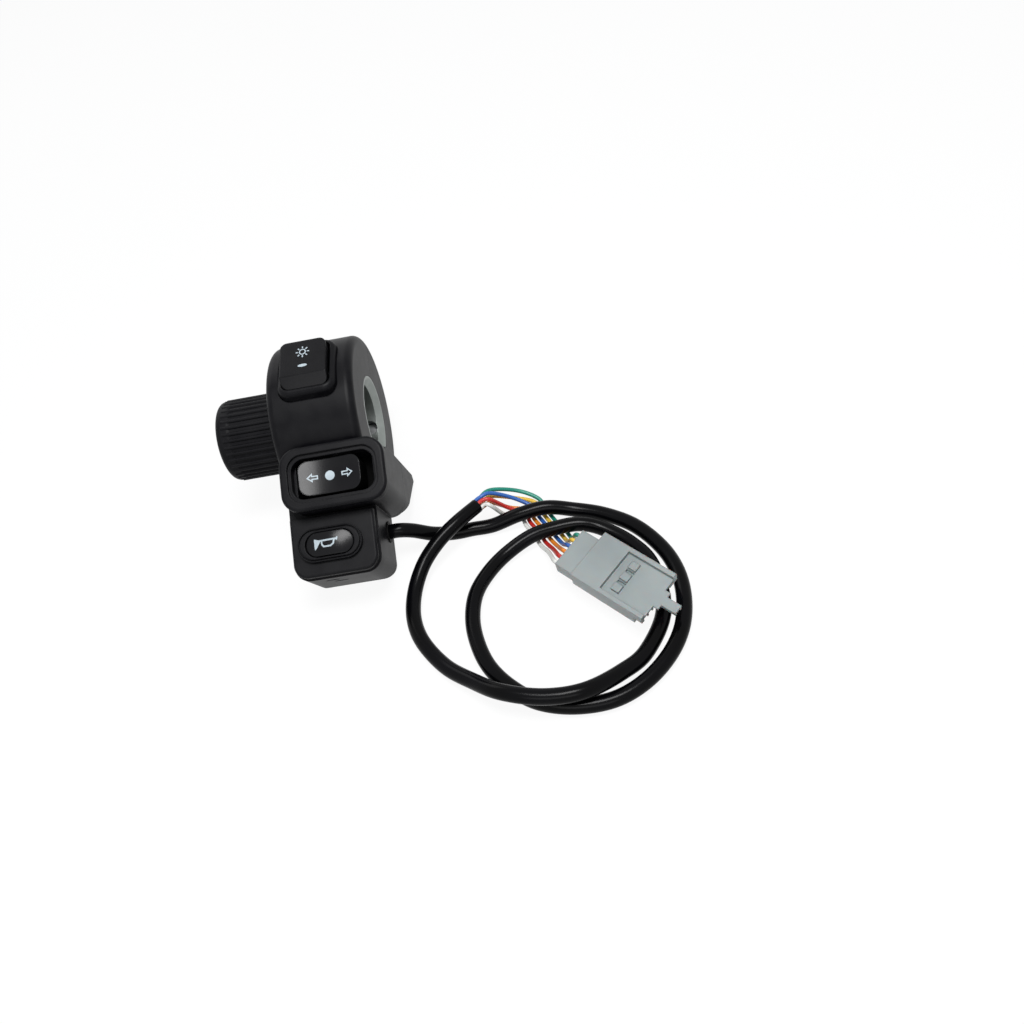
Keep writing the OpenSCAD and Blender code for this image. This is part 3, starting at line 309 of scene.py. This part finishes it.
# Caps: where each one's own millimetres lie, and the height of its face there
TURN_PLACE = HOUSING @ Matrix.Translation((3.75, -25.5, 0))
TURN_DISH_Z, TURN_DISH_R = 26, 19.4 ** 2 / 8
HORN_PLACE = HOUSING @ Matrix.Translation((0.3, -45.4, 0))
HORN_TOP, HORN_DOME_R = 23, 24
LIGHT_ANGLE, LIGHT_TILT = math.radians(-22), math.radians(6)
LIGHT_PIVOT = Matrix.Translation((0, 0, 23))
LIGHT_PLACE = (HOUSING @ Matrix.Rotation(LIGHT_ANGLE, 4, "X")
               @ LIGHT_PIVOT @ Matrix.Rotation(LIGHT_TILT, 4, "X") @ LIGHT_PIVOT.inverted())
LIGHT_CREASE_Y, LIGHT_CREASE_Z = -4.98, 32.1
LIGHT_UPPER_SLOPE, LIGHT_LOWER_SLOPE = -0.8 / 21.58, 2.6 / 3.32


def turn_surface(x, y):
    return TURN_DISH_Z + TURN_DISH_R - math.sqrt(TURN_DISH_R ** 2 - x * x)


def horn_surface(x, y):
    return HORN_TOP - HORN_DOME_R + math.sqrt(HORN_DOME_R ** 2 - x * x - y * y)


def light_surface(x, y):
    past = y - LIGHT_CREASE_Y
    return LIGHT_CREASE_Z + past * (LIGHT_UPPER_SLOPE if past > 0 else LIGHT_LOWER_SLOPE)


# Only the dished top of the turn rocker is polished: its sides and its shield are left as moulded.
POLISHED_FACING, POLISHED_Z = 0.5, 21
rocker = nodes["turn_rocker"].data
rocker.materials.append(FINISHES["moulded_inside"])
for face in rocker.polygons:
    if face.normal.dot(FRONT) < POLISHED_FACING or (TURN_PLACE.inverted() @ face.center).z < POLISHED_Z:
        face.material_index = 1

# The horn spring is copied into an object of its own, with its place baked into the mesh, and the CAD spring
# is hidden.
coil = bpy.data.objects.new("horn_coil", nodes["horn_spring"].data.copy())
bpy.context.scene.collection.objects.link(coil)
coil.matrix_world = nodes["horn_spring"].matrix_world
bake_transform(coil)
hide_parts("horn_spring")

# Printed symbols, drawn flat in mm and laid on their caps
PRINT_LIFT = 0.03
PRINT_CUT = 0.5
SHARPEST = 0.35


def stroke(points, width, closed=False):
    """Quads along a line of points, for a drawn line of that width."""
    p = [Vector(q) for q in points]
    count = len(p)
    rims = []
    for i in range(count):
        before = p[i] - p[i - 1] if closed or i else p[1] - p[0]
        after = p[(i + 1) % count] - p[i] if closed or i < count - 1 else before
        a, b = before.normalized(), after.normalized()
        normal = Vector((-(a + b).y, (a + b).x)).normalized()
        reach = width / 2 / max(SHARPEST, normal.dot(Vector((-a.y, a.x))))
        rims.append((p[i] + reach * normal, p[i] - reach * normal))
    pairs = range(count if closed else count - 1)
    return [(rims[i][0], rims[i][1], rims[(i + 1) % count][1], rims[(i + 1) % count][0]) for i in pairs]


def ellipse(x, y, rx, ry, sides):
    turns = [2 * math.pi * k / sides for k in range(sides)]
    return [Vector((x + rx * math.cos(a), y + ry * math.sin(a))) for a in turns]


def disc(x, y, rx, ry, sides=24):
    rim = ellipse(x, y, rx, ry, sides)
    return [(Vector((x, y)), rim[k], rim[(k + 1) % sides]) for k in range(sides)]


def fan(points):
    """Triangles that fill an outline, seen whole from its first point."""
    p = [Vector(q) for q in points]
    return [(p[0], p[k], p[k + 1]) for k in range(1, len(p) - 1)]


def finer(shape):
    """Cuts a flat triangle or quad into pieces small enough to follow a curved face."""
    if max((a - b).length for a in shape for b in shape) < PRINT_CUT:
        return [shape]
    if len(shape) == 3:
        a, b, c = shape
        ab, bc, ca = (a + b) / 2, (b + c) / 2, (c + a) / 2
        parts = [(a, ab, ca), (ab, b, bc), (ca, bc, c), (ab, bc, ca)]
    else:
        a, b, c, d = shape
        ab, bc, cd, da, mid = (a + b) / 2, (b + c) / 2, (c + d) / 2, (d + a) / 2, (a + b + c + d) / 4
        parts = [(a, ab, mid, da), (ab, b, bc, mid), (mid, bc, c, cd), (da, mid, cd, d)]
    return [small for part in parts for small in finer(part)]


def add_print(name, body, shapes, surface, place):
    """A thin printed layer: the flat shapes are laid on surface(x, y) and moved by place."""
    points, faces = [], []
    for shape in [small for shape in shapes for small in finer(shape)]:
        first = len(points)
        points += [place @ Vector((q.x, q.y, surface(q.x, q.y) + PRINT_LIFT)) for q in shape]
        faces.append(tuple(range(first, first + len(shape))))
    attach(new_mesh(name, points, faces, INK, rounded=False), body)


# Turn rocker: an arrow each way and a dot
ARROW_X = 5.4
ARROW = [(1.55, 0), (0.2, 1.1), (0.2, 0.45), (-1.55, 0.45), (-1.55, -0.45), (0.2, -0.45), (0.2, -1.1)]


def arrow(way):
    return stroke([(way * (ARROW_X + a), b) for a, b in ARROW], 0.38, closed=True)


turn_marks = arrow(-1) + disc(0, 0, 1.5, 1.5) + arrow(1)
add_print("turn_symbols", "turn_rocker", turn_marks, turn_surface, TURN_PLACE)

# Light rocker: a lamp with rays, and a dash
LAMP_Y, LAMP_R, DASH_Y = 3.7, 0.95, -1.7
RAY_FROM, RAY_TO = 1.4, 2.15
light_marks = stroke(ellipse(0, LAMP_Y, LAMP_R, LAMP_R, 20), 0.36, closed=True)
for ray in zip(ellipse(0, LAMP_Y, RAY_FROM, RAY_FROM, 8), ellipse(0, LAMP_Y, RAY_TO, RAY_TO, 8)):
    light_marks += stroke(ray, 0.4)
light_marks += disc(0, DASH_Y, 1.5, 0.55)
add_print("light_symbols", "light_rocker", light_marks, light_surface, LIGHT_PLACE)

# Horn button: a horn with its bell to the left
HORN_SHIFT = Vector((-1, 0))
BELL = [
    (-1.4, 0.9), (-1.4, 1.15), (-2.8, 1.2), (-3.6, 1.7), (-3.6, -1.7), (-3, -1.4), (-2.6, -0.2), (-1.9, 0.55),
]
TUBE = [(-1.6, 0.88), (3.4, 0.95)]
MOUTH = [(3.45, 0.45), (3.7, 1.5)]
LOOP = [(-1.2, 0.8), (-1.15, -0.3), (-0.6, -1), (1.5, -1), (2.4, -0.4), (2.7, 0.8)]
horn_marks = fan(BELL) + stroke(TUBE, 0.55) + stroke(MOUTH, 0.4) + stroke(LOOP, 0.5)
horn_marks = [tuple(q + HORN_SHIFT for q in shape) for shape in horn_marks]
add_print("horn_symbol", "horn_button", horn_marks, horn_surface, HORN_PLACE)

# Floor, world and lights
FLOOR_REACH = 4
FLOOR_WHITE = 0.92
SOFT_LIGHT = 0.25
LIGHT_TARGET = (0.02, -0.03, 0)


def add_light(name, place, size, power):
    data = bpy.data.lights.new(name, "AREA")
    data.shape = "RECTANGLE"
    data.size, data.size_y = size
    data.energy = power
    light = bpy.data.objects.new(name, data)
    bpy.context.scene.collection.objects.link(light)
    light.location = place
    light.rotation_mode = "QUATERNION"
    light.rotation_quaternion = (Vector(LIGHT_TARGET) - Vector(place)).to_track_quat("-Z", "Y")


def seen_rays(tree):
    """1 for rays that show the backdrop: straight, mirrored or through something clear."""
    add, link = tree.nodes.new, tree.links.new
    path, straight, any_ray = add("ShaderNodeLightPath"), add("ShaderNodeMath"), add("ShaderNodeMath")
    straight.operation = any_ray.operation = "MAXIMUM"
    link(path.outputs["Is Camera Ray"], straight.inputs[0])
    link(path.outputs["Is Transmission Ray"], straight.inputs[1])
    link(straight.outputs["Value"], any_ray.inputs[0])
    link(path.outputs["Is Glossy Ray"], any_ray.inputs[1])
    return any_ray.outputs["Value"]


def add_floor():
    """A pale floor that takes a soft shadow and is nearly white to the eye."""
    material, tree, shader = node_tree("floor")
    add, link = tree.nodes.new, tree.links.new
    noise = add("ShaderNodeTexNoise")
    noise.inputs["Scale"].default_value = 40
    colours = add("ShaderNodeValToRGB")
    colours.color_ramp.elements[0].color = (0.9, 0.9, 0.9, 1)
    colours.color_ramp.elements[1].color = (0.93, 0.93, 0.93, 1)
    link(noise.outputs["Fac"], colours.inputs["Fac"])
    link(colours.outputs["Color"], shader.inputs["Base Color"])
    shader.inputs["Roughness"].default_value = 0.9
    shader.inputs["Specular IOR Level"].default_value = 0.1
    white = add("ShaderNodeEmission")
    white.inputs["Strength"].default_value = 1
    mix, share = add("ShaderNodeMixShader"), add("ShaderNodeMath")
    share.operation = "MULTIPLY"
    share.inputs[1].default_value = FLOOR_WHITE
    link(seen_rays(tree), share.inputs[0])
    link(share.outputs["Value"], mix.inputs["Fac"])
    link(shader.outputs["BSDF"], mix.inputs[1])
    link(white.outputs["Emission"], mix.inputs[2])
    link(mix.outputs["Shader"], tree.nodes["Material Output"].inputs["Surface"])
    corners = [(x * FLOOR_REACH, y * FLOOR_REACH, TABLE_Z) for x, y in ((-1, -1), (1, -1), (1, 1), (-1, 1))]
    new_mesh("floor", corners, [(0, 1, 2, 3)], material, rounded=False)


def add_world():
    """A white backdrop that lights the part only softly."""
    world = bpy.data.worlds.new("world")
    world.use_nodes = True
    bpy.context.scene.world = world
    tree = world.node_tree
    add, link = tree.nodes.new, tree.links.new
    soft, white = tree.nodes["Background"], add("ShaderNodeBackground")
    soft.inputs["Color"].default_value = (0.9, 0.95, 1, 1)
    soft.inputs["Strength"].default_value = SOFT_LIGHT
    white.inputs["Color"].default_value = (1, 1, 1, 1)
    white.inputs["Strength"].default_value = 1
    mix = add("ShaderNodeMixShader")
    link(seen_rays(tree), mix.inputs["Fac"])
    link(soft.outputs["Background"], mix.inputs[1])
    link(white.outputs["Background"], mix.inputs[2])
    link(mix.outputs["Shader"], tree.nodes["World Output"].inputs["Surface"])


add_floor()
add_world()
add_light("key", place=(0.08, -0.13, 0.66), size=(0.3, 0.2), power=4.6)
add_light("fill", place=(0.02, -0.62, 0.4), size=(0.5, 0.25), power=1)
add_light("back", place=(-0.35, 0.5, 0.45), size=(0.4, 0.4), power=0.9)
bpy.context.scene.view_settings.view_transform = "Standard"
